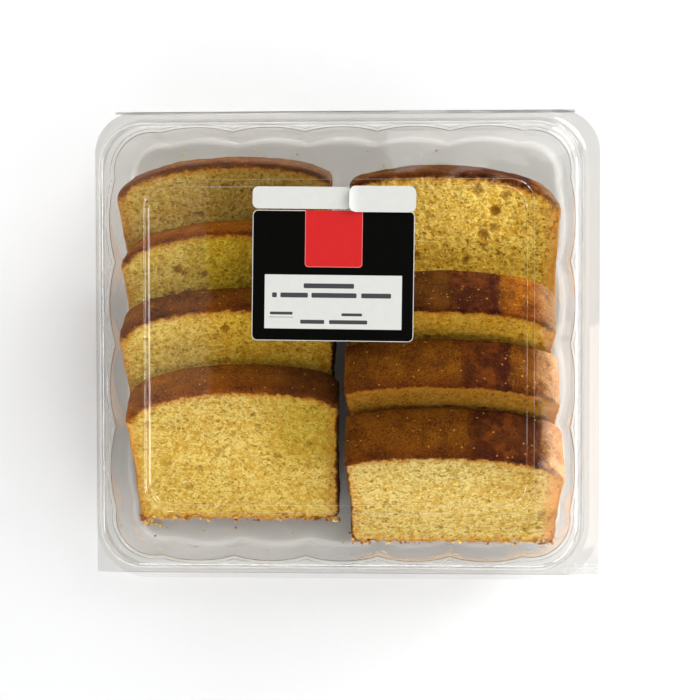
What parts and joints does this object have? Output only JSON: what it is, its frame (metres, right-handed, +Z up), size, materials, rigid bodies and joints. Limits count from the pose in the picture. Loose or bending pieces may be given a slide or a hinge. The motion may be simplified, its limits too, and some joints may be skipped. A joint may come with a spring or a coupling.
{
  "type": "packed cornbread slices",
  "caption": "Clear hinged bakery pack holding two rows of leaning cornbread slices, with a paper label panel on its lid.",
  "frame": {"origin": "on the table, under the middle of the shut pack's rim", "axes": "+X to the right when looking at the opening edge, +Y towards the hinge at the back, +Z up"},
  "size_m": [0.2414, 0.224, 0.072],
  "materials": {
    "clear_plastic": "clear thermoformed plastic sheet, glossy",
    "cornbread": "open yellow crumb with a browned top crust, dry and matte",
    "label_print": "semi-gloss printed paper, black with plain fields of red and white",
    "label_paper": "semi-gloss white paper"
  },
  "bodies": {
    "tray": {"tray": "clear_plastic", "slice_left_1": "cornbread", "slice_left_2": "cornbread", "slice_left_3": "cornbread", "slice_left_4": "cornbread", "slice_right_1": "cornbread", "slice_right_2": "cornbread", "slice_right_3": "cornbread", "slice_right_4": "cornbread"},
    "lid": {"lid": "clear_plastic", "label_card": "label_print", "label_strip_left": "label_paper", "label_strip_right": "label_paper"}
  },
  "joints": [
    {"name": "lid_hinge", "type": "hinge", "parent": "tray", "child": "lid", "pos_m": [0, 0.11215, 0.03615], "axis": [-1, 0, 0], "range_deg": [0, 180]}
  ]
}
